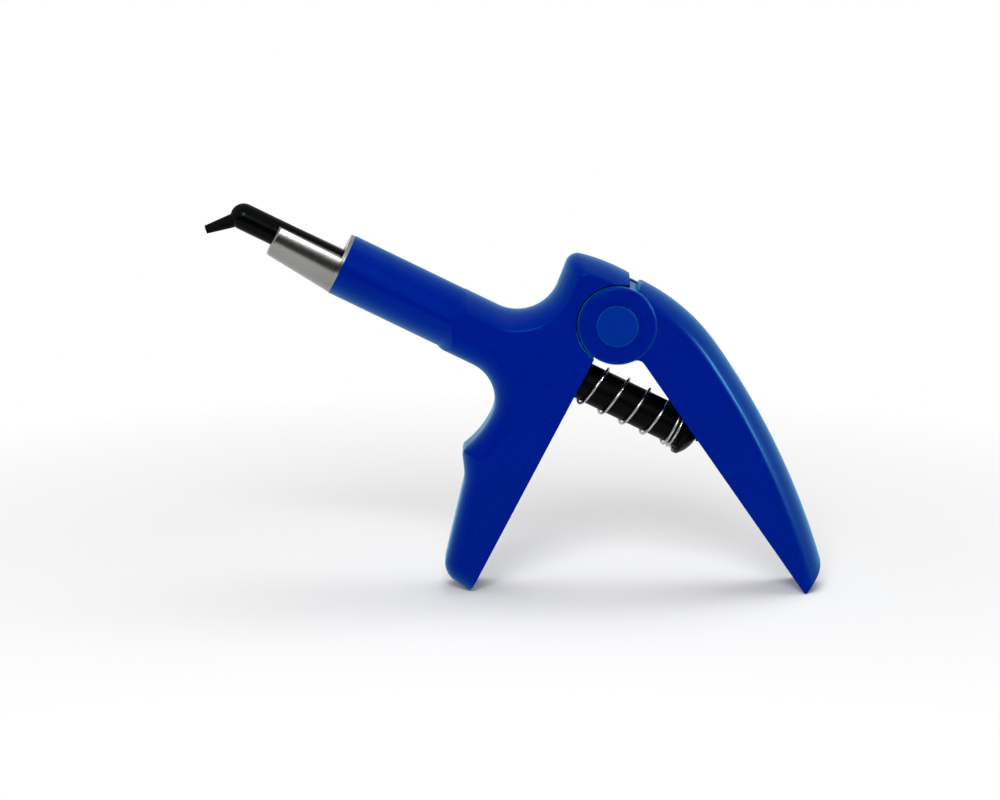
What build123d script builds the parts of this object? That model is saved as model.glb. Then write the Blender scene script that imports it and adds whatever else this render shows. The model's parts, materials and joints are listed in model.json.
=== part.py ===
from build123d import *
from math import atan2, cos, degrees, pi, radians, sin, sqrt, tan
import os

# Compule dispensing tool: a hand-squeezed gun that pushes the piston of a small bent-nozzle capsule.
# Millimetres. +X runs from the nozzle to the rear lever, +Z is up, and the tool is alike on both
# sides of the XZ plane. It stands on the tips of its two handles at Z = 0.

# Layout of the tool
barrel_tilt = 26.2  # the barrel's axis falls this many degrees towards the rear
axis_drop = 17.0  # from the hinge axis square to the barrel's axis
hinge_height = 66.3  # hinge axis above the surface that the tool stands on
hinge_forward = 24.54  # hinge axis behind the middle of the overall length
lever_tilt = 54.9  # the open lever falls this many degrees below level
squeeze_angle = 58.0  # the lever's travel
body_width = 16.0  # over the flat sides of both handles
edge_round = 5.0  # rounding of the front handle's outer edges
tip_round_extra = 0.2  # of the tips' corners over that rounding
crown_stock = 1.0  # left over the outline for the crowned cuts
crown_reach = 4.0  # of a crowned cut past the outline, which clears all the stock
edge_tolerance = 0.01  # in finding the edges that lie on the flat sides
foot_flat = 0.35  # taken off both tips so that they stand flat
wall = 2.0

# Clearances
running_gap = 0.05
slide_gap = 0.1
seat_gap = 0.3

# Barrel and bulkhead, along the axis from the foot of the hinge's square on it
barrel_diameter = 15.2
barrel_bore = 10.4
barrel_front = -65.5
blend_front = -36.4
blend_rear = -31.4
blend_dip = 0.1  # of the conical blend's front end under the barrel's surface
blend_rise = 2.4  # of its rear end over the barrel's surface
neck_proud = 0.06  # of the neck's crowned top over the barrel
bulkhead_rear = -6.5
bulkhead_thickness = 6.0

# Hinge
disc_diameter = 19.0
disc_proud = 0.7
disc_edge_run = 0.8  # width of the rounded band round each disc's edge
recess_gap = 0.5
tongue_width = body_width * 5 / 8
tongue_diameter = 18.6
tongue_low_diameter = 14.8
axle_diameter = 5.0
hinge_bush_wall = 1.0
hinge_washer_diameter = 11.0
hinge_washer_thickness = 0.5
hinge_side_gap = 0.2
cap_diameter = 10.0
cap_proud = 0.8
cap_depth = 1.0
cap_edge_round = 0.5
stop_angle = 22.0  # of the tongue's stop face above level
stop_rib_thickness = 2.5

# Plunger and spring
plunger_diameter = 9.35
plunger_front = -32.0
head_diameter = 12.4
head_rim = 1.1
head_dome_radius = 8.1
head_apex = 30.3
plunger_bush_wall = 1.0
ring_thickness = 0.9
ring_groove_depth = 0.55
ring_opening = 60.0
wire_diameter = 0.7
spring_diameter = 11.3
closed_pitch = 1.15
front_closed_turns = 1
rear_closed_turns = 2
active_turns = 5
spring_washer_thickness = 0.5

# Push rod
rod_diameter = 3.6
rod_tip_chamfer = 0.4
rod_hold = 8.0  # length held inside the plunger
dowel_diameter = 1.6
guide_diameter = 6.4
guide_length = 6.5

# Nose that carries the capsule
nose_length = 17.5
nose_rim_diameter = 15.0
nose_rim_thickness = 0.9
nose_rear_diameter = 14.8
nose_front_diameter = 11.5
nose_edge_round = 0.8
slot_height = 2.3  # of the trough's edges above the axis
spigot_length = 9.0
pocket_length = 2.3
o_ring_section = 0.9
o_ring_from_rear = 3.0

# Capsule
capsule_diameter = 6.5
capsule_wall = 0.85
capsule_flange_diameter = 7.9
capsule_flange_thickness = 1.2
capsule_length = 25.3  # from the flange's front face to the centre of the dome
nozzle_bend = 45.0
nozzle_reach = 9.66  # from the dome's centre to the nozzle's end
nozzle_base_diameter = 3.3
nozzle_tip_diameter = 2.05
nozzle_bore = 1.1
piston_length = 4.5

# Worked-out sizes
half_width = body_width / 2
barrel_radius = barrel_diameter / 2
disc_radius = disc_diameter / 2
disc_face = half_width + disc_proud
recess_radius = disc_radius + recess_gap
cheek_inside = tongue_width / 2 + hinge_washer_thickness + hinge_side_gap
channel_half = head_diameter / 2 + slide_gap * 2
tilt = radians(barrel_tilt)
lever_angle = radians(lever_tilt)

# Planes: the side plane has u along the barrel's axis and v up from it, and the lever plane has a
# along the open lever from the hinge and b square to it, outwards. Both face the left side.
axis_dir = Vector(cos(tilt), 0, -sin(tilt))
up_dir = Vector(sin(tilt), 0, cos(tilt))
hinge = Vector(hinge_forward, 0, hinge_height)
foot = hinge - up_dir * axis_drop
side_plane = Plane(origin=foot, x_dir=axis_dir, z_dir=(0, -1, 0))
lever_plane = Plane(origin=hinge, x_dir=(cos(lever_angle), 0, -sin(lever_angle)), z_dir=(0, -1, 0))
hinge_plane = Plane(origin=hinge, x_dir=(1, 0, 0), z_dir=(0, -1, 0))
barrel_axis = Axis(foot, axis_dir)
hinge_axis = Axis(hinge, (0, -1, 0))


def across(u):
    """The plane square to the barrel's axis at u, facing the rear."""
    return Plane(origin=foot + axis_dir * u, x_dir=(0, 1, 0), z_dir=axis_dir)


def hinge_offset(y):
    """The hinge plane moved towards the left side."""
    return hinge_plane.offset(y)


def rounded_edges(part, plane, outline_ends):
    """The edges of both flat sides whose middles lie in the given stretch of the outline."""
    chosen = []
    for edge in part.edges().filter_by(lambda e: abs(abs(e.center().Y) - half_width) < edge_tolerance):
        if outline_ends(plane.to_local_coords(edge.center())):
            chosen.append(edge)
    return chosen


def square_to(path):
    """The plane square to the path's start, with the body's width across it."""
    return Plane(origin=path @ 0, x_dir=(0, 1, 0), z_dir=path % 0)


def crown_radius(crease_depth):
    """The radius of a crowned edge whose creases on the flat sides lie this deep."""
    return (crease_depth * crease_depth + half_width * half_width) / (2 * crease_depth)


def crown_cutter(plane, crease_depth):
    """The sketch that cuts a crowned edge, on a plane square to the outline."""
    radius = crown_radius(crease_depth)
    side = (half_width + radius) / 2  # past the flat sides, and still on the arc
    low = sqrt(radius * radius - side * side) - radius
    with BuildSketch(plane) as section:
        with BuildLine():
            ThreePointArc((-side, low), (0, 0), (side, low))
            Polyline((side, low), (side, crown_reach), (-side, crown_reach), (-side, low))
        make_face()
    return section.sketch


def corner_cutter(plane, corner, back, onward, radius):
    """The sketch that rounds an outline corner, from the directions of its two sides."""
    half_corner = radians(back.get_angle(onward)) / 2
    start = corner + back * (radius / tan(half_corner))
    end = corner + onward * (radius / tan(half_corner))
    inward = (back + onward).normalized()
    with BuildSketch(plane) as section:
        with BuildLine():
            Polyline(start, start - inward * radius, end - inward * radius, end, start)
        make_face()
        with Locations(corner + inward * (radius / sin(half_corner))):
            Circle(radius, mode=Mode.SUBTRACT)
    return section.sketch


# Front body outline in the side plane
hump_curve_radius = 10.4
hump_curve_u = -27.3
hump_front_lean = 5.1  # of the hump's front past square to the barrel, in degrees
hump_front_height = 27.0
hump_top_middle = (-9.5, 28.5)
hump_rear_top = (-2.4, 28.6)
hump_rear_bottom = (-1.2, 26.3)
hump_round = 3.0
neck_crease = 4.0  # depth of the crease below the neck's and the hump's front outline
hump_crease = 3.0  # depth of the crease below the hump's top
crease_round = 1.0
handle_back_u = -1.35
handle_back_v = 6.9
handle_back_lean = 1.1
finger_radius = 9.6
finger_u = -26.7
finger_lip = (-19.7, -27.7)
lip_lower = (-16.1, -33.3)
lip_lower_round = 12.0
finger_lip_round = 2.5
handle_tip_front = (-10.6, -57.0)
handle_tip_round = edge_round + tip_round_extra
channel_top = -9.6
channel_front = 2.6
rib_thickness = 1.5
rib_setback = 3.5
body_rib_heights = (-22.0, -33.0, -44.0)

back_slope = tan(radians(handle_back_lean))


def handle_back(v):
    """Where the handle's back edge lies at v."""
    return handle_back_u + (v - handle_back_v) * back_slope


# The back edge runs to just under the standing surface, where the flat is then cut
tip_v = (-foot_flat - foot.Z + (handle_back_u - handle_back_v * back_slope) * sin(tilt)) / (
    cos(tilt) - back_slope * sin(tilt)
)
handle_tip_back = (handle_back(tip_v), tip_v)

neck_turn = 90 + hump_front_lean
neck_top = barrel_radius + neck_proud
with BuildLine(side_plane) as neck_path:
    neck = Line((blend_front - crown_reach, neck_top), (hump_curve_u, neck_top))
    hump_curve = JernArc(neck @ 1, tangent=neck % 1, radius=hump_curve_radius, arc_size=neck_turn)
    climb = hump_front_height - side_plane.to_local_coords(hump_curve @ 1).Y
    climb_length = climb / cos(radians(hump_front_lean)) + crown_reach
    climb_end = hump_curve @ 1 + (hump_curve % 1) * climb_length
    Line(hump_curve @ 1, climb_end)
hump_corner = side_plane.to_local_coords(climb_end - (hump_curve % 1) * crown_reach)
with BuildLine(side_plane):
    hump_top = ThreePointArc((hump_corner.X, hump_corner.Y), hump_top_middle, hump_rear_top)
with BuildLine(side_plane) as hump_path:
    hump_start = Line(hump_top @ 0 - (hump_top % 0) * crown_reach, hump_top @ 0)
    add(hump_top)
    Line(hump_top @ 1, hump_top @ 1 + (hump_top % 1) * crown_reach)

with BuildPart() as front_body:
    with BuildSketch(side_plane):
        with BuildLine():
            finger_top = (finger_u, -barrel_radius)
            finger_bottom = (finger_u + finger_radius, -barrel_radius - finger_radius)
            stock_start = (blend_front, barrel_radius + crown_stock)
            stock_bend = (hump_curve_u, barrel_radius + crown_stock)
            stock_radius = hump_curve_radius - crown_stock
            stock_top = hump_top_middle[1] + crown_stock
            Line(stock_start, stock_bend)
            curve = JernArc(stock_bend, tangent=(1, 0), radius=stock_radius, arc_size=neck_turn)
            stock_lean = (stock_top - (curve @ 1).Y) * tan(radians(hump_front_lean))
            Polyline(
                curve @ 1,
                ((curve @ 1).X - stock_lean, stock_top),
                (hump_rear_top[0], stock_top),
                hump_rear_top,
                hump_rear_bottom,
                (handle_back_u, handle_back_v),
                handle_tip_back,
            )
            FilletPolyline(
                handle_tip_back,
                handle_tip_front,
                lip_lower,
                finger_lip,
                radius=[handle_tip_round, lip_lower_round],
            )
            lip_curve = TangentArc(finger_bottom, finger_lip, tangent=(0, -1))
            RadiusArc(finger_top, finger_bottom, finger_radius)
            Line(finger_top, (blend_front, -barrel_radius))
            Line((blend_front, -barrel_radius), stock_start)
        make_face()
    extrude(amount=half_width, both=True)
    # The underside and the front of the handle are rounded, down to its tip
    lower = rounded_edges(
        front_body.part,
        side_plane,
        lambda p: p.Y < 0 and blend_front < p.X < handle_tip_back[0] - edge_round / 5,
    )
    fillet(lower, edge_round)
    # The neck, the hump's front and its top are crowned between creases
    cut = crown_cutter(square_to(neck_path.line), neck_crease)
    sweep(cut, path=neck_path.line, mode=Mode.SUBTRACT)
    cut = crown_cutter(square_to(hump_start), hump_crease)
    sweep(cut, path=hump_path.line, mode=Mode.SUBTRACT)
    hump_edge = front_body.edges().sort_by_distance(side_plane.from_local_coords(hump_corner))[:2]
    fillet(hump_edge, hump_round)
    creases = rounded_edges(
        front_body.part, side_plane, lambda p: p.Y > 0 and p.X < hump_rear_top[0] - crease_round
    )
    fillet(creases, crease_round)
    # The finger rest's lip is rounded across the body
    lip = Vector(*finger_lip)
    below = (Vector(*lip_lower) - lip).normalized()
    cut = corner_cutter(side_plane, lip, (lip_curve % 1) * -1, below, finger_lip_round)
    extrude(cut, amount=half_width, both=True, mode=Mode.SUBTRACT)
    # The squarer neck comes out of the round barrel over a short cone
    with BuildSketch(side_plane):
        with BuildLine():
            blend_start = (blend_front, barrel_radius - blend_dip)
            Polyline(
                blend_start,
                (blend_rear, barrel_radius + blend_rise),
                (blend_rear, body_width),
                (blend_front, body_width),
                blend_start,
            )
        make_face()
    revolve(axis=barrel_axis, mode=Mode.SUBTRACT)
    with BuildSketch(across(barrel_front)):
        Circle(barrel_radius)
    extrude(amount=blend_rear - barrel_front)
    # Recesses for the lever's discs, and the tongue left between them
    for side in (-1, 1):
        with BuildSketch(hinge_offset(side * tongue_width / 2)):
            Circle(recess_radius)
        extrude(amount=side * body_width, mode=Mode.SUBTRACT)
    with BuildSketch(hinge_plane):
        Circle(tongue_low_diameter / 2)
        with BuildLine():
            stop_end = Vector(tongue_diameter / 2, 0).rotate(Axis.Z, stop_angle)
            sector_end = Vector(-tongue_diameter / 2, 0)
            ThreePointArc(stop_end, (0, tongue_diameter / 2), sector_end)
            Polyline(sector_end, (0, 0), stop_end)
        make_face()
    extrude(amount=tongue_width / 2, both=True)
    with BuildSketch(hinge_plane):
        Circle(axle_diameter / 2 + hinge_bush_wall)
    extrude(amount=body_width, both=True, mode=Mode.SUBTRACT)
    # Barrel bore, bulkhead bore and the spring's pocket
    with BuildSketch(across(barrel_front)):
        Circle(barrel_bore / 2)
    extrude(amount=bulkhead_rear - bulkhead_thickness - barrel_front, mode=Mode.SUBTRACT)
    with BuildSketch(across(bulkhead_rear - bulkhead_thickness)):
        Circle(plunger_diameter / 2 + running_gap + plunger_bush_wall)
    extrude(amount=bulkhead_thickness, mode=Mode.SUBTRACT)
    with BuildSketch(across(bulkhead_rear)):
        Circle(spring_diameter / 2 + seat_gap)
    extrude(amount=body_width, mode=Mode.SUBTRACT)
    # The handle is a channel that is open towards the lever, with cross ribs set back in it
    with BuildSketch(side_plane):
        with BuildLine():
            Polyline(
                (bulkhead_rear, channel_top),
                (finger_bottom[0] + channel_front, channel_top),
                (finger_bottom[0] + channel_front, finger_bottom[1]),
                (lip_lower[0] + channel_front, lip_lower[1]),
                (handle_tip_front[0] + channel_front, handle_tip_front[1] + channel_front * 1.5),
                (handle_back_u + wall, handle_tip_front[1] + channel_front * 0.8),
                (handle_back_u + wall, channel_top),
                close=True,
            )
        make_face()
        for rib_v in body_rib_heights:
            with Locations((handle_back(rib_v) - rib_setback - body_width / 2, rib_v)):
                Rectangle(body_width, rib_thickness, mode=Mode.SUBTRACT)
    extrude(amount=half_width - wall, both=True, mode=Mode.SUBTRACT)
    split(bisect_by=Plane.XY, keep=Keep.TOP)
front_body.part.label = "front_body"

# Rear lever outline in the lever plane
lever_crown = (18.5, 16.4)
lever_top = (-4.5, 10.4)
lever_outer_tip = (78.6, 6.4)
lever_tip_round = edge_round + tip_round_extra
lever_stock = 3.0  # left over the outline's crown for the crowned back, down to none at the tip
lever_sections = 17  # of the crowned back, evenly spaced
lever_crease_top = 3.5  # depth of the crease below the outline, at the top wall
lever_crease_low = 4.5  # depth of the crease from lever_crease_full on to the tip
lever_crease_full = 60.0
lever_crease_round = 3.0
lever_top_round = 1.5  # of the corner at the front of the crowned back
lever_top_sink = 0.08  # of that rounding under the crown
inner_edge_drop = 0.6  # the inner edge leans in this much over the lever's length
armpit_round = 2.0
mouth_cut = 0.4  # inside radius of the top wall over the tongue's
lever_wall = 2.4
lever_step = 2.2  # the channel's corners are stepped by this much inside the rounded edges
lever_channel_end = 73.6
cam_gap = 0.1
cam_width = 4.0
cam_turns = [-2.0, 10.0, 22.0, 34.0, 46.0, squeeze_angle + 2.0]
web_front_margin = 3.0
web_middle = 12.0  # behind the lever's crown
web_rear = 28.0
web_middle_fall = 0.3
web_rear_fall = 2.1
boss_diameter = 13.0
lever_rib_stations = (50.0, 60.0, 69.0)


def cam_point(turn):
    """The involute cam in the lever plane, where it meets the axis after this many degrees."""
    angle = radians(turn)
    reach = head_apex + cam_gap - axis_drop * angle
    x = -axis_drop * sin(tilt) + reach * cos(tilt)
    z = -axis_drop * cos(tilt) - reach * sin(tilt)
    back = lever_angle + angle
    return (x * cos(back) - z * sin(back), x * sin(back) + z * cos(back))


# The inner edge runs to just under the standing surface, where the flat is then cut
inner_slope = inner_edge_drop / lever_outer_tip[0]
lever_tip_a = (hinge_height + foot_flat) / (sin(lever_angle) + inner_slope * cos(lever_angle))
lever_inner_tip = (lever_tip_a, -inner_slope * lever_tip_a)


def inside_crown(a, inset):
    """The point at station a of the outer outline moved inwards by inset."""
    end = lever_outer_tip if a > lever_crown[0] else lever_top
    run = end[0] - lever_crown[0]
    fall = lever_crown[1] - end[1]
    radius = (run * run + fall * fall) / (2 * fall) - inset
    here = a - lever_crown[0]
    return (a, lever_crown[1] - inset - radius + sqrt(radius * radius - here * here))


def lever_channel(inset):
    """The sketch of the lever's channel, this far inside the outer outline, without its ribs."""
    rear_end = inside_crown(lever_channel_end, inset)
    front_end = inside_crown(lever_top[0], inset)
    inner_crown = (lever_crown[0], lever_crown[1] - inset)
    with BuildSketch(lever_plane) as section:
        with BuildLine():
            TangentArc(inner_crown, rear_end, tangent=(1, 0))
            TangentArc(inner_crown, front_end, tangent=(-1, 0))
            Polyline(
                front_end,
                (-body_width, front_end[1]),
                (-body_width, -body_width),
                (lever_channel_end, -body_width),
                rear_end,
            )
        make_face()
        for station in lever_rib_stations:
            with Locations((station, rib_setback + body_width / 2)):
                Rectangle(rib_thickness, body_width, mode=Mode.SUBTRACT)
    return section.sketch


def crowned_section(a):
    """The sketch of the lever's crowned section at station a, deeper than the lever itself."""
    share = (a - lever_top[0]) / (lever_crease_full - lever_top[0])
    deepening = (lever_crease_low - lever_crease_top) * min(max(share, 0), 1)
    radius = crown_radius(lever_crease_top + deepening)
    top = inside_crown(a, 0)[1]
    side = (half_width + radius) / 2
    low = top - radius + sqrt(radius * radius - side * side)
    origin = lever_plane.from_local_coords((a, 0, 0))
    with BuildSketch(Plane(origin=origin, x_dir=(0, 1, 0), z_dir=lever_plane.x_dir)) as section:
        with BuildLine():
            ThreePointArc((-side, low), (0, top), (side, low))
            Polyline((side, low), (side, -body_width), (-side, -body_width), (-side, low))
        make_face()
    return section.sketch


lever_front_end = lever_top[0] - disc_radius
lever_spacing = (lever_outer_tip[0] + disc_radius - lever_front_end) / (lever_sections - 1)

with BuildPart() as rear_lever:
    loft([crowned_section(lever_front_end + i * lever_spacing) for i in range(lever_sections)])
    with BuildSketch(lever_plane) as lever_outline:
        with BuildLine():
            stock_crown = (lever_crown[0], lever_crown[1] + lever_stock)
            stock_top = (lever_top[0], lever_top[1] + lever_stock)
            Polyline((0, 0), lever_inner_tip, lever_outer_tip)
            TangentArc(stock_crown, lever_outer_tip, tangent=(1, 0))
            TangentArc(stock_crown, stock_top, tangent=(-1, 0))
            Polyline(stock_top, lever_top, (0, 0))
        make_face()
        Circle(disc_radius)
        armpit = lever_outline.vertices().sort_by_distance((disc_radius, 0))[0]
        fillet(armpit, armpit_round)
        tip_corner = lever_outline.vertices().sort_by_distance(lever_outer_tip)[0]
        fillet(tip_corner, lever_tip_round)
    extrude(amount=half_width, both=True, mode=Mode.INTERSECT)
    creases = rounded_edges(
        rear_lever.part,
        lever_plane,
        lambda p: p.Y > lever_crease_round and Vector(p.X, p.Y).length > disc_radius + edge_round / 5,
    )
    creases = [e for e in creases if e.geom_type == GeomType.BSPLINE and e.length > disc_radius]
    fillet(creases, lever_crease_round)
    # The corner at the top of the back is rounded across the lever
    down = Vector(0, -1)
    onward = Vector(*inside_crown(lever_top[0] + lever_top_round, 0)) - Vector(*lever_top)
    onward = onward.normalized()
    corner = Vector(*lever_top) + (down + onward).normalized() * lever_top_sink
    cut = corner_cutter(lever_plane, corner, down, onward, lever_top_round)
    extrude(cut, amount=half_width, both=True, mode=Mode.SUBTRACT)
    # Channel, open towards the front handle and at the top for the tongue
    wide = lever_channel(lever_wall + lever_step)
    narrow = lever_channel(lever_wall)
    extrude(wide, amount=channel_half, both=True, mode=Mode.SUBTRACT)
    extrude(narrow, amount=channel_half - lever_step, both=True, mode=Mode.SUBTRACT)
    with BuildSketch(hinge_plane):
        Circle(tongue_diameter / 2 + mouth_cut)
    extrude(amount=channel_half, both=True, mode=Mode.SUBTRACT)
    # Web whose edge is the cam that the plunger's head rides on
    with BuildSketch(lever_plane):
        with BuildLine():
            cam = Spline([cam_point(turn) for turn in cam_turns])
            web_front = (cam @ 1).X - web_front_margin
            back_wall = lever_crown[1] - lever_wall / 2
            Polyline(
                cam @ 1,
                (web_front, back_wall),
                (lever_crown[0] + web_middle, back_wall - web_middle_fall),
                (lever_crown[0] + web_rear, back_wall - web_rear_fall),
                cam @ 0,
            )
        make_face()
    extrude(amount=cam_width / 2, both=True)
    # Stop rib that meets the tongue's stop face when the lever is open
    with BuildSketch(hinge_plane):
        with BuildLine():
            rib_inner = tongue_low_diameter / 2 + seat_gap
            rib_outer = tongue_diameter / 2 + mouth_cut + wall / 2
            stop_face = (slide_gap / rib_outer) * 180 / pi
            turned = stop_angle - stop_face
            Polyline(
                Vector(rib_inner, 0).rotate(Axis.Z, turned),
                Vector(rib_outer, 0).rotate(Axis.Z, turned),
                Vector(rib_outer + wall, -stop_rib_thickness).rotate(Axis.Z, turned),
                Vector(rib_inner, -stop_rib_thickness).rotate(Axis.Z, turned),
                close=True,
            )
        make_face()
    extrude(amount=channel_half, both=True)
    # Raised discs, bosses inside the cheeks, axle holes and seats for the caps
    for side in (-1, 1):
        with BuildSketch(Plane(origin=hinge, x_dir=(1, 0, 0), z_dir=(0, 0, 1))):
            with BuildLine():
                face_edge = (disc_radius - disc_edge_run, side * disc_face)
                Line((0, side * disc_face), face_edge)
                TangentArc(face_edge, (disc_radius, side * half_width), tangent=(1, 0))
                Polyline(
                    (disc_radius, side * half_width),
                    (disc_radius, side * channel_half),
                    (0, side * channel_half),
                    (0, side * disc_face),
                )
            make_face()
        revolve(axis=hinge_axis)
        with BuildSketch(hinge_offset(-side * cheek_inside)):
            Circle(boss_diameter / 2)
        extrude(amount=-side * (channel_half - cheek_inside + wall / 4))
        with BuildSketch(hinge_offset(-side * (disc_face - cap_depth))):
            Circle(cap_diameter / 2 + running_gap)
        extrude(amount=-side * wall, mode=Mode.SUBTRACT)
    with BuildSketch(hinge_plane):
        Circle(axle_diameter / 2)
    extrude(amount=body_width, both=True, mode=Mode.SUBTRACT)
    split(bisect_by=Plane.XY, keep=Keep.TOP)
rear_lever.part.label = "rear_lever"

# Hinge: axle, bush, washers and caps
axle_end = disc_face - cap_depth - running_gap
with BuildPart() as hinge_axle:
    with BuildSketch(hinge_plane):
        Circle(axle_diameter / 2)
    extrude(amount=axle_end, both=True)
    chamfer(hinge_axle.edges().filter_by(GeomType.CIRCLE), cap_edge_round)
hinge_axle.part.label = "hinge_axle"

with BuildPart() as hinge_bush:
    with BuildSketch(hinge_plane):
        Circle(axle_diameter / 2 + hinge_bush_wall)
        Circle(axle_diameter / 2 + running_gap, mode=Mode.SUBTRACT)
    extrude(amount=tongue_width / 2, both=True)
hinge_bush.part.label = "hinge_bush"


def hinge_washer(side):
    """The washer beside the tongue, on the left side for 1 and on the right side for -1."""
    with BuildPart() as washer:
        with BuildSketch(hinge_offset(side * tongue_width / 2)):
            Circle(hinge_washer_diameter / 2)
            Circle(axle_diameter / 2 + running_gap, mode=Mode.SUBTRACT)
        extrude(amount=side * hinge_washer_thickness)
    return washer


def hinge_cap(side):
    """The grained cap over the axle's end, seated in the disc of one cheek."""
    with BuildPart() as cap:
        with BuildSketch(hinge_offset(side * (disc_face - cap_depth))):
            Circle(cap_diameter / 2)
        extrude(amount=side * (cap_depth + cap_proud))
        outer_face = cap.faces().sort_by(Axis.Y)[0 if side > 0 else -1]
        fillet(outer_face.edges(), cap_edge_round)
    return cap


hinge_washer_left = hinge_washer(1)
hinge_washer_right = hinge_washer(-1)
hinge_cap_left = hinge_cap(1)
hinge_cap_right = hinge_cap(-1)
hinge_washer_left.part.label = "hinge_washer_left"
hinge_washer_right.part.label = "hinge_washer_right"
hinge_cap_left.part.label = "hinge_cap_left"
hinge_cap_right.part.label = "hinge_cap_right"

# Plunger: its head's underside and rim, and the groove for its retaining ring
dome_drop = head_dome_radius - sqrt(head_dome_radius**2 - (head_diameter / 2) ** 2)
head_rim_rear = head_apex - dome_drop
head_under = head_rim_rear - head_rim
bulkhead_front = bulkhead_rear - bulkhead_thickness
ring_rear = bulkhead_front - seat_gap
ring_front = ring_rear - ring_thickness
plunger_radius = plunger_diameter / 2
groove_radius = plunger_radius - ring_groove_depth

with BuildPart() as plunger:
    with BuildSketch(side_plane):
        with BuildLine():
            dome_start = (head_rim_rear, head_diameter / 2)
            Polyline(
                (head_apex, 0),
                (plunger_front, 0),
                (plunger_front, plunger_radius),
                (ring_front - running_gap, plunger_radius),
                (ring_front - running_gap, groove_radius),
                (ring_rear + running_gap, groove_radius),
                (ring_rear + running_gap, plunger_radius),
                (head_under, plunger_radius),
                (head_under, head_diameter / 2),
                dome_start,
            )
            RadiusArc((head_apex, 0), dome_start, -head_dome_radius)
        make_face()
    revolve(axis=barrel_axis)
    front_edge = plunger.edges().filter_by(GeomType.CIRCLE).sort_by(barrel_axis)[0]
    chamfer(front_edge, rod_tip_chamfer)
    with BuildSketch(across(plunger_front)):
        Circle(rod_diameter / 2)
    extrude(amount=rod_hold, mode=Mode.SUBTRACT)
    dowel_plane = Plane(origin=foot + axis_dir * (plunger_front + rod_hold / 2), z_dir=up_dir)
    with BuildSketch(dowel_plane):
        Circle(dowel_diameter / 2)
    extrude(amount=plunger_diameter, both=True, mode=Mode.SUBTRACT)
plunger.part.label = "plunger"

with BuildPart() as retaining_ring:
    with BuildSketch(across(ring_front)):
        Circle(barrel_bore / 2 - slide_gap)
        Circle(groove_radius + running_gap, mode=Mode.SUBTRACT)
        with BuildLine():
            reach = Vector(barrel_bore, 0)
            Polyline(
                (0, 0),
                reach.rotate(Axis.Z, 90 - ring_opening / 2),
                reach.rotate(Axis.Z, 90 + ring_opening / 2),
                close=True,
            )
        make_face(mode=Mode.SUBTRACT)
    extrude(amount=ring_thickness)
retaining_ring.part.label = "retaining_ring"

with BuildPart() as plunger_bush:
    with BuildSketch(across(bulkhead_front)):
        Circle(plunger_radius + running_gap + plunger_bush_wall)
        Circle(plunger_radius + running_gap, mode=Mode.SUBTRACT)
    extrude(amount=bulkhead_thickness)
plunger_bush.part.label = "plunger_bush"

with BuildPart() as spring_washer:
    with BuildSketch(across(bulkhead_rear)):
        Circle(spring_diameter / 2 + seat_gap / 2)
        Circle(plunger_radius + slide_gap, mode=Mode.SUBTRACT)
    extrude(amount=spring_washer_thickness)
spring_washer.part.label = "spring_washer"

# Return spring: closed turns at both ends, a left-hand helix drawn as biarcs of a quarter turn
spring_start = bulkhead_rear + spring_washer_thickness + wire_diameter / 2 + running_gap
spring_end = head_under - wire_diameter / 2 - running_gap
spring_radius = (spring_diameter - wire_diameter) / 2
closed_turns = front_closed_turns + rear_closed_turns
active_pitch = (spring_end - spring_start - closed_turns * closed_pitch) / active_turns
spring_turns = closed_turns + active_turns
spring_phase = 158.0  # of the wire's first end about the axis


def spring_station(turns):
    """How far along the axis the wire lies after this many turns."""
    opened = min(max(turns - front_closed_turns, 0), active_turns)
    return spring_start + closed_pitch * (turns - opened) + active_pitch * opened


def spring_point(turns):
    """A point of the wire's centre line."""
    angle = radians(spring_phase - 360 * turns)
    radial = up_dir * cos(angle) - Vector(0, 1, 0) * sin(angle)
    return foot + axis_dir * spring_station(turns) + radial * spring_radius


def spring_tangent(turns):
    """The wire's direction there, from the mean rise just before and after."""
    step = 1 / 16
    rise = (spring_station(turns + step) - spring_station(turns - step)) / (2 * step)
    angle = radians(spring_phase - 360 * turns)
    around = up_dir * sin(angle) + Vector(0, 1, 0) * cos(angle)
    return (axis_dir * rise + around * 2 * pi * spring_radius).normalized()


def biarc_knee(start, start_dir, end, end_dir):
    """The point where two arcs tangent to these directions meet."""
    chord = end - start
    both = start_dir + end_dir
    a = 2 - 2 * start_dir.dot(end_dir)
    b = 2 * chord.dot(both)
    reach = (sqrt(b * b + 4 * a * chord.dot(chord)) - b) / (2 * a)
    return (start + end + (start_dir - end_dir) * reach) / 2


quarters = spring_turns * 4
with BuildPart() as return_spring:
    with BuildLine() as wire_path:
        for quarter in range(quarters):
            first = quarter / 4
            second = (quarter + 1) / 4
            first_dir = spring_tangent(first)
            knee = biarc_knee(
                spring_point(first), first_dir, spring_point(second), spring_tangent(second)
            )
            lead = TangentArc(spring_point(first), knee, tangent=first_dir)
            TangentArc(knee, spring_point(second), tangent=lead % 1)
    with BuildSketch(Plane(origin=spring_point(0), z_dir=spring_tangent(0))):
        Circle(wire_diameter / 2)
    sweep(path=wire_path.line)
return_spring.part.label = "return_spring"

# Least gap of the wire to itself, between points at least half a turn apart
samples = [spring_point(i / 24) for i in range(spring_turns * 24 + 1)]
least_gap = min(
    (p - q).length - wire_diameter
    for i, p in enumerate(samples)
    for q in samples[i + 12 :]
)
print("return_spring least gap to itself", round(least_gap, 3))
wire_length = sum(edge.length for edge in wire_path.edges())
wire_volume = pi * wire_diameter**2 / 4 * wire_length
print("return_spring volume", round(return_spring.part.volume, 2), "expected", round(wire_volume, 2))

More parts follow.
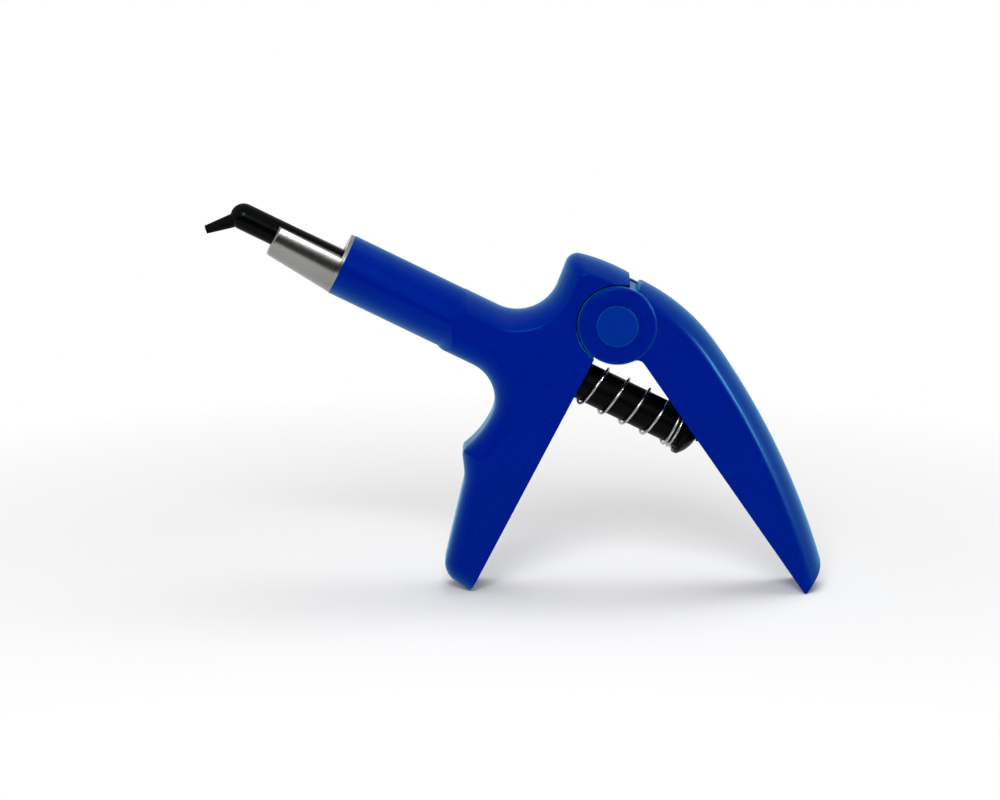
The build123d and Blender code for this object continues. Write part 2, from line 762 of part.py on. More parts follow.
# Push rod from the plunger to the capsule's piston, and the dowel through both
pocket_front = barrel_front - nose_rim_thickness + running_gap
flange_front = pocket_front + running_gap
flange_rear = flange_front + capsule_flange_thickness
rod_tip = flange_rear + running_gap

with BuildPart() as push_rod:
    with BuildSketch(across(rod_tip)):
        Circle(rod_diameter / 2)
    extrude(amount=plunger_front + rod_hold - rod_tip)
    chamfer(push_rod.edges().filter_by(GeomType.CIRCLE).sort_by(barrel_axis)[0], rod_tip_chamfer)
    with BuildSketch(dowel_plane):
        Circle(dowel_diameter / 2)
    extrude(amount=plunger_diameter, both=True, mode=Mode.SUBTRACT)
push_rod.part.label = "push_rod"

with BuildPart() as rod_dowel:
    with BuildSketch(dowel_plane):
        Circle(dowel_diameter / 2)
    extrude(amount=plunger_radius - running_gap * 4, both=True)
rod_dowel.part.label = "rod_dowel"

# Nose: a tapered metal trough with a rim at the barrel's mouth and a spigot in the barrel's bore
nose_front = barrel_front - nose_length
rim_front = barrel_front - nose_rim_thickness
spigot_rear = barrel_front + spigot_length
pocket_rear = rim_front + pocket_length
channel_radius = capsule_diameter / 2 + running_gap * 1.5
pocket_radius = capsule_flange_diameter / 2 + slide_gap
spigot_radius = barrel_bore / 2 - running_gap / 2
groove_bottom = spigot_radius - o_ring_section
o_ring_middle = spigot_rear - o_ring_from_rear

with BuildPart() as capsule_nose:
    with BuildSketch(side_plane):
        with BuildLine():
            groove_half = o_ring_section / 2 + running_gap
            Polyline(
                (nose_front, channel_radius),
                (pocket_front, channel_radius),
                (pocket_front, pocket_radius),
                (pocket_rear, pocket_radius),
                (pocket_rear, guide_diameter / 2),
                (spigot_rear, guide_diameter / 2),
                (spigot_rear, spigot_radius),
                (o_ring_middle + groove_half, spigot_radius),
                (o_ring_middle + groove_half, groove_bottom),
                (o_ring_middle - groove_half, groove_bottom),
                (o_ring_middle - groove_half, spigot_radius),
                (barrel_front, spigot_radius),
                (barrel_front, nose_rim_diameter / 2),
                (rim_front, nose_rim_diameter / 2),
                (rim_front, nose_rear_diameter / 2),
                (nose_front, nose_front_diameter / 2),
                close=True,
            )
        make_face()
    revolve(axis=barrel_axis)
    nose_rings = capsule_nose.edges().filter_by(GeomType.CIRCLE).sort_by(barrel_axis)
    front_rim = max(nose_rings[0:2], key=lambda e: e.radius)
    fillet(front_rim, nose_edge_round)
    with BuildSketch(side_plane):
        with Locations((rim_front, slot_height)):
            Rectangle(body_width * 2, body_width, align=(Align.MAX, Align.MIN))
    extrude(amount=body_width, both=True, mode=Mode.SUBTRACT)
    with BuildSketch(side_plane):
        with Locations((rim_front, 0)):
            Rectangle(body_width * 2, body_width, align=(Align.MAX, Align.MIN))
    extrude(amount=channel_radius, both=True, mode=Mode.SUBTRACT)
    # The rim is open above the axis, as wide as the flange, so that the capsule can be tilted in
    with BuildSketch(across(rim_front)):
        Circle(pocket_radius)
        Rectangle(body_width, body_width, align=(Align.CENTER, Align.MIN), mode=Mode.INTERSECT)
    extrude(amount=pocket_length, mode=Mode.SUBTRACT)
capsule_nose.part.label = "capsule_nose"

with BuildPart() as nose_o_ring:
    with BuildSketch(side_plane):
        with Locations((o_ring_middle, spigot_radius - o_ring_section / 2)):
            Circle((o_ring_section - running_gap) / 2)
    revolve(axis=barrel_axis)
nose_o_ring.part.label = "nose_o_ring"

with BuildPart() as rod_guide:
    with BuildSketch(across(spigot_rear)):
        Circle(guide_diameter / 2)
        Circle(rod_diameter / 2 + running_gap, mode=Mode.SUBTRACT)
    extrude(amount=-guide_length)
rod_guide.part.label = "rod_guide"

# Capsule: a flanged tube with a domed end and a bent, tapered nozzle
capsule_radius = capsule_diameter / 2
capsule_inside = capsule_radius - capsule_wall
dome_centre = flange_front - capsule_length
bend = radians(nozzle_bend)
nozzle_dir = axis_dir * -cos(bend) - up_dir * sin(bend)
dome_point = foot + axis_dir * dome_centre
nozzle_root = Plane(origin=dome_point, x_dir=(0, 1, 0), z_dir=nozzle_dir)

with BuildPart() as capsule_body:
    with BuildSketch(side_plane):
        with BuildLine():
            Polyline(
                (dome_centre, 0),
                (flange_rear, 0),
                (flange_rear, capsule_flange_diameter / 2),
                (flange_front, capsule_flange_diameter / 2),
                (flange_front, capsule_radius),
                (dome_centre, capsule_radius),
            )
            RadiusArc(
                (dome_centre, capsule_radius), (dome_centre - capsule_radius, 0), -capsule_radius
            )
            Line((dome_centre - capsule_radius, 0), (dome_centre, 0))
        make_face()
    revolve(axis=barrel_axis)
    nozzle_taper = degrees(
        atan2((nozzle_base_diameter - nozzle_tip_diameter) / 2, nozzle_reach - capsule_radius)
    )
    with BuildSketch(nozzle_root):
        Circle(nozzle_base_diameter / 2 + capsule_radius * tan(radians(nozzle_taper)))
    extrude(amount=nozzle_reach, taper=nozzle_taper)
    # Bore for the piston, and the narrow bore through the nozzle
    with BuildSketch(across(flange_rear)):
        Circle(capsule_inside)
    extrude(amount=dome_centre - flange_rear, mode=Mode.SUBTRACT)
    with Locations(Plane(dome_point)):
        Sphere(capsule_inside, mode=Mode.SUBTRACT)
    with BuildSketch(nozzle_root):
        Circle(nozzle_bore / 2)
    extrude(amount=nozzle_reach + wall, mode=Mode.SUBTRACT)
capsule_body.part.label = "capsule_body"

with BuildPart() as capsule_piston:
    with BuildSketch(across(flange_rear)):
        Circle(capsule_inside - running_gap)
    extrude(amount=-piston_length)
    chamfer(capsule_piston.edges().filter_by(GeomType.CIRCLE).sort_by(barrel_axis)[0], rod_tip_chamfer)
capsule_piston.part.label = "capsule_piston"


pieces = (
    front_body,
    rear_lever,
    hinge_axle,
    hinge_bush,
    hinge_washer_left,
    hinge_washer_right,
    hinge_cap_left,
    hinge_cap_right,
    plunger,
    retaining_ring,
    plunger_bush,
    spring_washer,
    return_spring,
    push_rod,
    rod_dowel,
    capsule_nose,
    nose_o_ring,
    rod_guide,
    capsule_body,
    capsule_piston,
)
os.makedirs("parts", exist_ok=True)
for piece in pieces:
    export_step(piece.part, f"parts/{piece.part.label}.step")
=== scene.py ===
"""Capsule dispensing gun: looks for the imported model, laid out as a Blender add-on.

Each operator finishes one group of pieces. The sizes are in metres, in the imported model's frame:
+X runs from the nozzle to the rear lever, +Z is up, and both handle tips stand at Z = 0.
"""

import json
import math

import bpy
from mathutils import Euler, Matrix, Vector


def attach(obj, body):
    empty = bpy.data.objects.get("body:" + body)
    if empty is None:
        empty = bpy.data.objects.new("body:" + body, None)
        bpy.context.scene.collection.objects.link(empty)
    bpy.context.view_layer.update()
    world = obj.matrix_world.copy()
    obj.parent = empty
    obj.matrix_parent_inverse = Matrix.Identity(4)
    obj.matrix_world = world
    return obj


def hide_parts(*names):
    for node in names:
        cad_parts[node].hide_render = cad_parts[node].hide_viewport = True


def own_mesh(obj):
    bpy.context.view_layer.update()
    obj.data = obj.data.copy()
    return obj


bl_info = {
    "name": "Capsule dispensing gun",
    "version": (1, 0, 0),
    "blender": (4, 5, 0),
    "location": "View3D > Sidebar > Dispenser",
    "description": "Finishes a hand-squeezed capsule dispensing gun and its studio stage",
    "category": "Object",
}

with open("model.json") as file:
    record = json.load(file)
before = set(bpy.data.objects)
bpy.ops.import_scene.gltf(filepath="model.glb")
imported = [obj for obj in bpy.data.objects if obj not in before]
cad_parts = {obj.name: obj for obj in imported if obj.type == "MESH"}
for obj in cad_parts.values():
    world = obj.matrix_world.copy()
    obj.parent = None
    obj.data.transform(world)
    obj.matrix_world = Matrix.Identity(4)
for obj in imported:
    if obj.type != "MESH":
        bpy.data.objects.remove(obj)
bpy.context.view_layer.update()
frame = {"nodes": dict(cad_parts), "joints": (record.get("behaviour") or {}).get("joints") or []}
NODES = frame["nodes"]

JOINTS = {joint["name"]: joint for joint in frame["joints"]}
HINGE = Vector(JOINTS["lever_squeeze"]["pos_m"])

# The axis of barrel, capsule and plunger: its direction to the rear, its fall and a point on it
AXIS = -Vector(JOINTS["plunger_slide"]["axis"]).normalized()
TILT = math.atan2(-AXIS.z, AXIS.x)
AXIS_POINT = Vector(JOINTS["capsule_swivel"]["pos_m"])

# The capsule: its dome's middle ahead of the swivel's point, and where the dull nozzle begins
DOME_AHEAD = 0.0116
NOZZLE_ROOT = 0.0022
NOZZLE_FADE = 0.001

# The picture's size in pixels
IMAGE_WIDTH = 1000
IMAGE_HEIGHT = 800

# The point that the lamps point at, and the dark cards in front for the dim room, which only
# reflections show: a painted dark reflection
LAMP_AIM = Vector((0.0, 0.0, 0.045))
ROOM_HALF_WIDTH = 2.0
ROOM_NEAR = -0.17
ROOM_FAR = -1.4
ROOM_FLOOR_LIFT = 0.002
ROOM_WALL_HEIGHT = 0.36


# Settings


class DispenserFinish(bpy.types.PropertyGroup):
    """Colours and finishes of the gun."""

    body_colour: bpy.props.FloatVectorProperty(
        name="Body colour",
        description="Moulded plastic of the front body and the lever",
        subtype="COLOR",
        size=3,
        min=0.0,
        max=1.0,
        default=(0.0001, 0.001, 0.22),
    )
    body_roughness: bpy.props.FloatProperty(
        name="Body roughness",
        description="Roughness of the satin mouldings",
        min=0.0,
        max=1.0,
        default=0.28,
    )
    sheen_colour: bpy.props.FloatVectorProperty(
        name="Sheen colour",
        description="Light that the blue plastic throws back where it turns away",
        subtype="COLOR",
        size=3,
        min=0.0,
        max=1.0,
        default=(0.0, 0.55, 1.0),
    )
    cap_colour: bpy.props.FloatVectorProperty(
        name="Cap colour",
        description="Grained plastic of the two hinge caps",
        subtype="COLOR",
        size=3,
        min=0.0,
        max=1.0,
        default=(0.0004, 0.012, 0.25),
    )
    cap_grain: bpy.props.FloatProperty(
        name="Cap grain",
        description="Size of the grain on the caps",
        subtype="DISTANCE",
        unit="LENGTH",
        min=0.00001,
        max=0.002,
        default=0.00035,
    )
    metal_colour: bpy.props.FloatVectorProperty(
        name="Nose colour",
        description="Satin metal of the nose",
        subtype="COLOR",
        size=3,
        min=0.0,
        max=1.0,
        default=(0.285, 0.289, 0.276),
    )
    turning_pitch: bpy.props.FloatProperty(
        name="Turning marks",
        description="Distance between the fine turning marks of the nose",
        subtype="DISTANCE",
        unit="LENGTH",
        min=0.00002,
        max=0.002,
        default=0.00016,
    )
    black_colour: bpy.props.FloatVectorProperty(
        name="Black plastic",
        description="Plastic of the capsule and the plunger",
        subtype="COLOR",
        size=3,
        min=0.0,
        max=1.0,
        default=(0.0006, 0.0008, 0.0008),
    )
    wire_colour: bpy.props.FloatVectorProperty(
        name="Spring wire",
        description="Bright drawn wire of the return spring",
        subtype="COLOR",
        size=3,
        min=0.0,
        max=1.0,
        default=(0.45, 0.45, 0.44),
    )


class DispenserStage(bpy.types.PropertyGroup):
    """Camera, lamps and floor."""

    focal_length: bpy.props.FloatProperty(
        name="Focal length",
        description="Focal length of the camera in millimetres",
        min=20.0,
        max=300.0,
        default=150.0,
    )
    elevation: bpy.props.FloatProperty(
        name="Elevation",
        description="Height of the camera's line of sight above level",
        subtype="ANGLE",
        unit="ROTATION",
        default=math.radians(12.0),
    )
    metres_per_pixel: bpy.props.FloatProperty(
        name="Scale",
        description="Metres that one pixel of the picture covers at the hinge",
        min=0.0001,
        max=0.001,
        precision=7,
        default=0.0002415,
    )
    hinge_pixel: bpy.props.FloatVectorProperty(
        name="Hinge in the picture",
        description="Pixel of the picture where the hinge's middle lies",
        size=2,
        default=(616.6, 319.75),
    )
    floor_colour: bpy.props.FloatVectorProperty(
        name="Floor",
        description="Colour of the pale floor",
        subtype="COLOR",
        size=3,
        min=0.0,
        max=1.0,
        default=(0.97, 0.97, 0.97),
    )
    shadow_reach: bpy.props.FloatProperty(
        name="Shadow reach",
        description="Distance from the gun past which the floor turns pure white",
        subtype="DISTANCE",
        unit="LENGTH",
        default=0.23,
    )
    key_power: bpy.props.FloatProperty(
        name="Key lamp",
        description="Power of the front lamp",
        unit="POWER",
        default=3.6,
    )
    top_power: bpy.props.FloatProperty(
        name="Top lamp",
        description="Power of the overhead lamp",
        unit="POWER",
        default=2.8,
    )
    glint_power: bpy.props.FloatProperty(
        name="Glint lamp",
        description="Power of the lamp that lights nothing and shows only as a glint",
        unit="POWER",
        default=10.0,
    )
    sky_strength: bpy.props.FloatProperty(
        name="Sky",
        description="Strength of the even light from all sides",
        default=0.34,
    )


# Materials


def start_material(name):
    """A new material, its node tree and its shader, which is joined to the output."""
    material = bpy.data.materials.new(name)
    material.use_nodes = True
    tree = material.node_tree
    tree.nodes.clear()
    output = tree.nodes.new("ShaderNodeOutputMaterial")
    shader = tree.nodes.new("ShaderNodeBsdfPrincipled")
    tree.links.new(shader.outputs["BSDF"], output.inputs["Surface"])
    return material, tree, shader


def place(tree, rotation=(0, 0, 0), scale=(1, 1, 1)):
    """The object's coordinates, scaled and turned by a Mapping node."""
    coordinates = tree.nodes.new("ShaderNodeTexCoord")
    mapping = tree.nodes.new("ShaderNodeMapping")
    mapping.inputs["Rotation"].default_value = rotation
    mapping.inputs["Scale"].default_value = scale
    tree.links.new(coordinates.outputs["Object"], mapping.inputs["Vector"])
    return mapping.outputs["Vector"]


def grain(tree, vector, size, detail=3.0, roughness=0.55):
    """A noise whose patches are about size metres across."""
    noise = tree.nodes.new("ShaderNodeTexNoise")
    noise.inputs["Scale"].default_value = 1.0 / size
    noise.inputs["Detail"].default_value = detail
    noise.inputs["Roughness"].default_value = roughness
    tree.links.new(vector, noise.inputs["Vector"])
    return noise.outputs["Fac"]


def spread(tree, value, low, high, from_low=0.3, from_high=0.7):
    """The value stretched from one range to another and held inside it."""
    node = tree.nodes.new("ShaderNodeMapRange")
    node.inputs["From Min"].default_value = from_low
    node.inputs["From Max"].default_value = from_high
    node.inputs["To Min"].default_value = low
    node.inputs["To Max"].default_value = high
    tree.links.new(value, node.inputs["Value"])
    return node.outputs["Result"]


def tint(tree, value, dark, light):
    """A colour between dark and light, as the value runs from 0 to 1."""
    mix = tree.nodes.new("ShaderNodeMix")
    mix.data_type = "RGBA"
    mix.inputs["A"].default_value = (*dark, 1.0)
    mix.inputs["B"].default_value = (*light, 1.0)
    tree.links.new(value, mix.inputs["Factor"])
    return mix.outputs["Result"]


def relief(tree, shader, layers):
    """Bump nodes in a row, one for each (height, depth in metres), joined to the shader."""
    normal = None
    for height, depth in layers:
        bump = tree.nodes.new("ShaderNodeBump")
        bump.inputs["Strength"].default_value = 1.0
        bump.inputs["Distance"].default_value = depth
        tree.links.new(height, bump.inputs["Height"])
        if normal:
            tree.links.new(normal, bump.inputs["Normal"])
        normal = bump.outputs["Normal"]
    tree.links.new(normal, shader.inputs["Normal"])


def shade(colour, factor):
    """A colour made darker or lighter by a factor."""
    return tuple(min(channel * factor, 1.0) for channel in colour)


def moulded_plastic(name, colour, roughness, texture_size, texture_depth, sheen=None, shine=0.14):
    """Satin moulded plastic with a fine even texture and faint handling marks.

    The texture's size and depth are in metres, shine is the specular level, and sheen is the
    colour of the light that the surface throws back where it turns away.
    """
    material, tree, shader = start_material(name)
    here = place(tree)
    slanted = place(tree, rotation=(0.3, 0.9, 0.2), scale=(1, 14, 1))
    cloud = grain(tree, here, size=0.018, detail=2.0)
    texture = grain(tree, here, size=texture_size, detail=2.0)
    ripple = grain(tree, here, size=0.006, detail=1.0)
    rub = grain(tree, slanted, size=0.003, detail=4.0)
    blend = spread(tree, cloud, 0.0, 1.0)
    clouded = tint(tree, blend, shade(colour, 0.94), shade(colour, 1.06))
    tree.links.new(clouded, shader.inputs["Base Color"])
    worn = spread(tree, rub, roughness - 0.03, roughness + 0.05, 0.25, 0.75)
    tree.links.new(worn, shader.inputs["Roughness"])
    shader.inputs["IOR"].default_value = 1.49
    shader.inputs["Specular IOR Level"].default_value = shine
    if sheen:
        shader.inputs["Specular Tint"].default_value = (*sheen, 1.0)
        shader.inputs["Sheen Weight"].default_value = 0.5
        shader.inputs["Sheen Roughness"].default_value = 0.52
        shader.inputs["Sheen Tint"].default_value = (*sheen, 1.0)
    relief(tree, shader, [(ripple, 0.00001), (texture, texture_depth)])
    return material


def turned_metal(name, colour, roughness, pitch, depth):
    """Satin metal with fine rings round the barrel's axis, pitch apart, and brush marks."""
    material, tree, shader = start_material(name)
    along = place(tree, rotation=(0, -TILT, 0))
    drawn_out = place(tree, rotation=(0, -TILT, 0), scale=(18, 1, 1))
    rings = tree.nodes.new("ShaderNodeTexWave")
    rings.wave_type = "BANDS"
    rings.bands_direction = "X"
    # At a scale of 1 the bands are about a third of a metre apart
    rings.inputs["Scale"].default_value = 1.0 / (math.pi * pitch)
    rings.inputs["Distortion"].default_value = 0.8
    rings.inputs["Detail"].default_value = 3.0
    rings.inputs["Detail Scale"].default_value = 2.0
    tree.links.new(along, rings.inputs["Vector"])
    brushed = grain(tree, drawn_out, size=0.004, detail=5.0)
    soft = grain(tree, place(tree), size=0.009, detail=2.0)
    shader.inputs["Metallic"].default_value = 1.0
    blend = spread(tree, soft, 0.0, 1.0)
    clouded = tint(tree, blend, shade(colour, 0.95), shade(colour, 1.05))
    tree.links.new(clouded, shader.inputs["Base Color"])
    worn = spread(tree, brushed, roughness - 0.02, roughness + 0.03)
    tree.links.new(worn, shader.inputs["Roughness"])
    relief(tree, shader, [(brushed, depth * 0.3), (rings.outputs["Fac"], depth)])
    return material


def drawn_steel(name, colour, roughness):
    """Bright drawn steel with faint streaks."""
    material, tree, shader = start_material(name)
    streak = grain(tree, place(tree, scale=(1, 6, 1)), size=0.0012, detail=4.0)
    shader.inputs["Metallic"].default_value = 1.0
    blend = spread(tree, streak, 0.0, 1.0)
    streaked = tint(tree, blend, shade(colour, 0.9), shade(colour, 1.05))
    tree.links.new(streaked, shader.inputs["Base Color"])
    worn = spread(tree, streak, roughness - 0.04, roughness + 0.08)
    tree.links.new(worn, shader.inputs["Roughness"])
    relief(tree, shader, [(streak, 0.000004)])
    return material


def capsule_plastic(name, colour, polished=0.14, dulled=0.5):
    """Black plastic: polished on the tube, dull and slightly grainy on the bent nozzle."""
    material, tree, shader = start_material(name)
    along = tree.nodes.new("ShaderNodeSeparateXYZ")
    tree.links.new(place(tree, rotation=(0, -TILT, 0)), along.inputs["Vector"])
    dome = AXIS_POINT - AXIS * DOME_AHEAD
    dome.rotate(Euler((0, -TILT, 0)))
    root = dome.x - NOZZLE_ROOT
    dull = spread(tree, along.outputs["X"], 1.0, 0.0, root, root + NOZZLE_FADE)
    haze = grain(tree, place(tree), size=0.0009, detail=4.0)
    fine = spread(tree, haze, 0.0, 1.0)
    roughness = tree.nodes.new("ShaderNodeMapRange")
    roughness.inputs["To Min"].default_value = polished
    roughness.inputs["To Max"].default_value = dulled
    tree.links.new(dull, roughness.inputs["Value"])
    mottle = tree.nodes.new("ShaderNodeMath")
    mottle.operation = "MULTIPLY_ADD"
    mottle.inputs[1].default_value = 0.06
    tree.links.new(fine, mottle.inputs[0])
    tree.links.new(roughness.outputs["Result"], mottle.inputs[2])
    tree.links.new(mottle.outputs["Value"], shader.inputs["Roughness"])
    tree.links.new(tint(tree, fine, colour, shade(colour, 1.6)), shader.inputs["Base Color"])
    shader.inputs["Specular IOR Level"].default_value = 0.05
    relief(tree, shader, [(haze, 0.000006)])
    return material


def dress(material, *names):
    """Gives these CAD nodes the material."""
    for name in names:
        node = NODES[name]
        if not node.material_slots:
            node.data.materials.append(material)
        for slot in node.material_slots:
            slot.material = material


# Operators


class DISPENSER_OT_mouldings(bpy.types.Operator):
    """Finishes the front body, the rear lever and the hinge caps"""

    bl_idname = "dispenser.mouldings"
    bl_label = "Mouldings"

    def execute(self, context):
        finish = context.scene.dispenser_finish
        satin = moulded_plastic(
            "satin_blue_moulding",
            finish.body_colour,
            roughness=finish.body_roughness,
            texture_size=0.0004,
            texture_depth=0.000003,
            sheen=finish.sheen_colour,
        )
        grained = moulded_plastic(
            "grained_blue_cap",
            finish.cap_colour,
            roughness=0.5,
            texture_size=finish.cap_grain,
            texture_depth=0.00012,
            sheen=finish.sheen_colour,
        )
        dress(satin, "front_body", "rear_lever")
        dress(grained, "hinge_cap_left", "hinge_cap_right")
        return {"FINISHED"}


class DISPENSER_OT_nose(bpy.types.Operator):
    """Finishes the metal nose"""

    bl_idname = "dispenser.nose"
    bl_label = "Nose"

    def execute(self, context):
        finish = context.scene.dispenser_finish
        metal = turned_metal(
            "satin_turned_metal",
            finish.metal_colour,
            roughness=0.23,
            pitch=finish.turning_pitch,
            depth=0.0000006,
        )
        rubber = moulded_plastic(
            "ring_rubber",
            (0.012, 0.012, 0.012),
            roughness=0.7,
            texture_size=0.0005,
            texture_depth=0.00001,
        )
        dress(metal, "capsule_nose")
        dress(rubber, "nose_o_ring")
        return {"FINISHED"}


class DISPENSER_OT_capsule(bpy.types.Operator):
    """Finishes the capsule and its piston"""

    bl_idname = "dispenser.capsule"
    bl_label = "Capsule"

    def execute(self, context):
        finish = context.scene.dispenser_finish
        polished = capsule_plastic("polished_black_capsule", finish.black_colour)
        pale = moulded_plastic(
            "pale_piston",
            (0.62, 0.6, 0.55),
            roughness=0.5,
            texture_size=0.0005,
            texture_depth=0.000008,
        )
        dress(polished, "capsule_body")
        dress(pale, "capsule_piston")
        return {"FINISHED"}


class DISPENSER_OT_drive(bpy.types.Operator):
    """Finishes the plunger, the spring and the parts of the hinge"""

    bl_idname = "dispenser.drive"
    bl_label = "Plunger and spring"

    def execute(self, context):
        finish = context.scene.dispenser_finish
        black = moulded_plastic(
            "satin_black_plunger",
            finish.black_colour,
            roughness=0.3,
            texture_size=0.0005,
            texture_depth=0.000004,
            shine=0.05,
        )
        wire = drawn_steel("bright_spring_wire", finish.wire_colour, roughness=0.2)
        steel = drawn_steel("ground_steel", (0.55, 0.55, 0.56), roughness=0.28)
        bearing = moulded_plastic(
            "pale_bearing_plastic",
            (0.75, 0.74, 0.7),
            roughness=0.4,
            texture_size=0.0006,
            texture_depth=0.000006,
        )
        dress(black, "plunger")
        self.add_coil(wire)
        dress(steel, "hinge_axle", "retaining_ring", "spring_washer", "push_rod", "rod_dowel")
        dress(
            bearing,
            "plunger_bush",
            "hinge_bush",
            "rod_guide",
            "hinge_washer_left",
            "hinge_washer_right",
        )
        return {"FINISHED"}

    def add_coil(self, material):
        """The return spring's coil: a welded, smooth-shaded copy of the spring's mesh, carried by
        the frame in place of the CAD spring.
        """
        node = NODES["return_spring"]
        coil = bpy.data.objects.new("return_spring_coil", node.data.copy())
        bpy.context.collection.objects.link(coil)
        bpy.ops.object.select_all(action="DESELECT")
        bpy.context.view_layer.objects.active = coil
        coil.select_set(True)
        bpy.ops.object.mode_set(mode="EDIT")
        bpy.ops.mesh.select_all(action="SELECT")
        bpy.ops.mesh.remove_doubles(threshold=0.000001)
        bpy.ops.object.mode_set(mode="OBJECT")
        bpy.ops.object.shade_smooth_by_angle(angle=math.radians(40.0))
        coil.data.materials.clear()
        coil.data.materials.append(material)
        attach(coil, "frame")
        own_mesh(coil)
        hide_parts("return_spring")


class DISPENSER_OT_stage(bpy.types.Operator):
    """Adds the pale floor, the soft lamps and the camera"""

    bl_idname = "dispenser.stage"
    bl_label = "Studio stage"

    def execute(self, context):
        stage = context.scene.dispenser_stage
        self.add_floor(stage)
        self.add_sky(stage)
        self.add_lamp("key_lamp", (-0.06, -0.63, 0.5), size=0.3, power=stage.key_power)
        top = self.add_lamp("top_lamp", (0.1, 0.15, 0.8), size=0.5, power=stage.top_power)
        top.visible_glossy = False
        glint = self.add_lamp("glint_lamp", (0.77, -0.23, 0.3), size=0.2, power=stage.glint_power)
        glint.visible_diffuse = False
        # Dark cards seen only in reflections: a painted dark reflection of the unlit room
        self.add_painted_dark_reflections()
        self.add_camera(stage)
        context.scene.view_settings.view_transform = "Standard"
        return {"FINISHED"}

    def add_floor(self, stage):
        """A wide floor that stays nearly white to the camera and keeps the shadows."""
        bpy.ops.mesh.primitive_plane_add(size=6.0, location=(0, 0, 0))
        floor = bpy.context.object
        floor.name = "studio_floor"
        material = bpy.data.materials.new("pale_floor")
        material.use_nodes = True
        tree = material.node_tree
        tree.nodes.clear()
        output = tree.nodes.new("ShaderNodeOutputMaterial")
        matt = tree.nodes.new("ShaderNodeBsdfDiffuse")
        matt.inputs["Color"].default_value = (*stage.floor_colour, 1.0)
        glow = tree.nodes.new("ShaderNodeEmission")
        middle = tree.nodes.new("ShaderNodeVectorMath")
        middle.operation = "LENGTH"
        tree.links.new(place(tree), middle.inputs[0])
        reach = stage.shadow_reach
        fade_start = reach * 0.45
        white = spread(tree, middle.outputs["Value"], 0.1, 1.0, fade_start, reach)
        seen = tree.nodes.new("ShaderNodeMath")
        seen.operation = "MULTIPLY"
        tree.links.new(self.seen_by_eye(tree), seen.inputs[0])
        tree.links.new(white, seen.inputs[1])
        mix = tree.nodes.new("ShaderNodeMixShader")
        tree.links.new(seen.outputs["Value"], mix.inputs["Fac"])
        tree.links.new(matt.outputs["BSDF"], mix.inputs[1])
        tree.links.new(glow.outputs["Emission"], mix.inputs[2])
        tree.links.new(mix.outputs["Shader"], output.inputs["Surface"])
        floor.data.materials.append(material)

    def add_sky(self, stage):
        """An even sky that lights softly and looks white to the camera and in reflections."""
        world = bpy.data.worlds.new("studio_sky")
        bpy.context.scene.world = world
        world.use_nodes = True
        tree = world.node_tree
        tree.nodes.clear()
        output = tree.nodes.new("ShaderNodeOutputWorld")
        even = tree.nodes.new("ShaderNodeBackground")
        even.inputs["Strength"].default_value = stage.sky_strength
        white = tree.nodes.new("ShaderNodeBackground")
        white.inputs["Strength"].default_value = 1.0
        mix = tree.nodes.new("ShaderNodeMixShader")
        tree.links.new(self.seen_by_eye(tree), mix.inputs["Fac"])
        tree.links.new(even.outputs["Background"], mix.inputs[1])
        tree.links.new(white.outputs["Background"], mix.inputs[2])
        tree.links.new(mix.outputs["Shader"], output.inputs["Surface"])

    def seen_by_eye(self, tree):
        """One where the camera looks, straight or by way of a mirror or glass, and else zero."""
        rays = tree.nodes.new("ShaderNodeLightPath")
        total = rays.outputs["Is Camera Ray"]
        for ray in ("Is Glossy Ray", "Is Transmission Ray"):
            larger = tree.nodes.new("ShaderNodeMath")
            larger.operation = "MAXIMUM"
            tree.links.new(total, larger.inputs[0])
            tree.links.new(rays.outputs[ray], larger.inputs[1])
            total = larger.outputs["Value"]
        return total

    def add_painted_dark_reflections(self):
        """Dark cards for the unlit floor and wall in front of the table: a painted dark
        reflection, which darkens the metal's middle.
        """
        left, right = -ROOM_HALF_WIDTH, ROOM_HALF_WIDTH
        floor = [
            (left, ROOM_FAR, ROOM_FLOOR_LIFT),
            (right, ROOM_FAR, ROOM_FLOOR_LIFT),
            (right, ROOM_NEAR, ROOM_FLOOR_LIFT),
            (left, ROOM_NEAR, ROOM_FLOOR_LIFT),
        ]
        wall = [
            (left, ROOM_FAR, 0.0),
            (right, ROOM_FAR, 0.0),
            (right, ROOM_FAR, ROOM_WALL_HEIGHT),
            (left, ROOM_FAR, ROOM_WALL_HEIGHT),
        ]
        self.add_dark_card("painted_dark_reflection_floor", floor)
        self.add_dark_card("painted_dark_reflection_wall", wall)

    def add_dark_card(self, name, corners):
        """A dark card that is seen only in reflections, where it paints a dark reflection."""
        mesh = bpy.data.meshes.new(name)
        mesh.from_pydata(corners, [], [range(len(corners))])
        card = bpy.data.objects.new(name, mesh)
        bpy.context.collection.objects.link(card)
        material, _, shader = start_material(name)
        # Near-black card colour: painted shade, seen only as a dark reflection on the metal and
        # plastic
        shader.inputs["Base Color"].default_value = (0.02, 0.02, 0.02, 1.0)
        shader.inputs["Roughness"].default_value = 1.0
        shader.inputs["Specular IOR Level"].default_value = 0.0
        mesh.materials.append(material)
        card.visible_camera = False
        card.visible_diffuse = False
        card.visible_shadow = False

    def add_lamp(self, name, location, size, power):
        """A square area lamp that points at the gun's middle."""
        bpy.ops.object.light_add(type="AREA", location=location)
        lamp = bpy.context.object
        lamp.name = name
        lamp.data.shape = "SQUARE"
        lamp.data.size = size
        lamp.data.energy = power
        sight = LAMP_AIM - Vector(location)
        lamp.rotation_euler = sight.to_track_quat("-Z", "Y").to_euler()
        return lamp

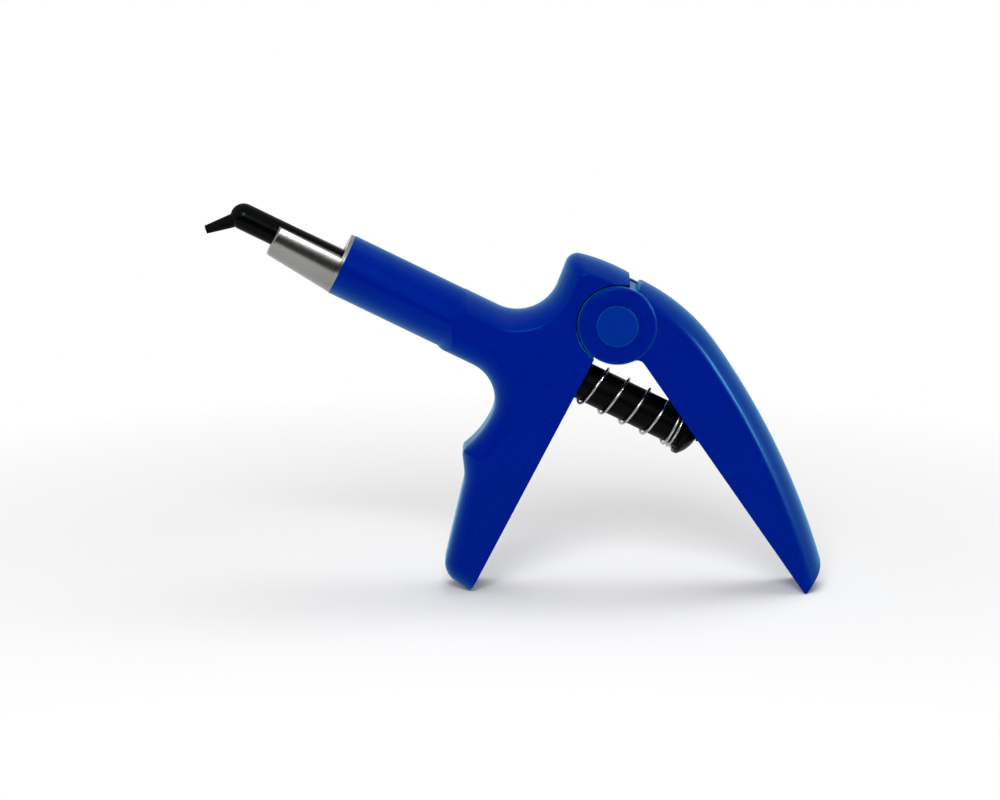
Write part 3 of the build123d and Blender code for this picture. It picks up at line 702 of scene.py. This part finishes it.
    def add_camera(self, stage):
        """A long lens at the photograph's angle, aimed so that the hinge lands on its pixel."""
        right = Vector((1.0, 0.0, 0.0))
        back = Vector((0.0, -math.cos(stage.elevation), math.sin(stage.elevation)))
        up = back.cross(right)
        scale = stage.metres_per_pixel
        across = (IMAGE_WIDTH / 2 - stage.hinge_pixel[0]) * scale
        down = (IMAGE_HEIGHT / 2 - stage.hinge_pixel[1]) * scale
        aim = HINGE + right * across - up * down
        bpy.ops.object.camera_add()
        camera = bpy.context.object
        camera.name = "photo_camera"
        camera.data.lens = stage.focal_length
        distance = scale * IMAGE_WIDTH * camera.data.lens / camera.data.sensor_width
        camera.location = aim + back * distance
        camera.rotation_euler = (-back).to_track_quat("-Z", "Y").to_euler()
        camera.data.clip_start = 0.05
        camera.data.clip_end = 20.0
        bpy.context.scene.camera = camera


class DISPENSER_PT_panel(bpy.types.Panel):
    """Lists the operators in the sidebar"""

    bl_idname = "DISPENSER_PT_panel"
    bl_label = "Capsule dispensing gun"
    bl_space_type = "VIEW_3D"
    bl_region_type = "UI"
    bl_category = "Dispenser"

    def draw(self, context):
        for operator in OPERATORS:
            self.layout.operator(operator.bl_idname)
        for group in (context.scene.dispenser_finish, context.scene.dispenser_stage):
            for key in group.bl_rna.properties.keys():
                if key not in ("rna_type", "name"):
                    self.layout.prop(group, key)


OPERATORS = (
    DISPENSER_OT_stage,
    DISPENSER_OT_mouldings,
    DISPENSER_OT_nose,
    DISPENSER_OT_capsule,
    DISPENSER_OT_drive,
)
CLASSES = (DispenserFinish, DispenserStage, *OPERATORS, DISPENSER_PT_panel)


def register():
    """Adds the classes and the scene's settings."""
    for each in CLASSES:
        bpy.utils.register_class(each)
    bpy.types.Scene.dispenser_finish = bpy.props.PointerProperty(type=DispenserFinish)
    bpy.types.Scene.dispenser_stage = bpy.props.PointerProperty(type=DispenserStage)


def unregister():
    """Takes the settings and the classes away."""
    del bpy.types.Scene.dispenser_stage
    del bpy.types.Scene.dispenser_finish
    for each in reversed(CLASSES):
        bpy.utils.unregister_class(each)


def main():
    """Registers the add-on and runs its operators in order."""
    register()
    bpy.ops.object.select_all(action="DESELECT")
    bpy.ops.dispenser.stage()
    bpy.ops.dispenser.mouldings()
    bpy.ops.dispenser.nose()
    bpy.ops.dispenser.capsule()
    bpy.ops.dispenser.drive()


if __name__ == "__main__":
    main()
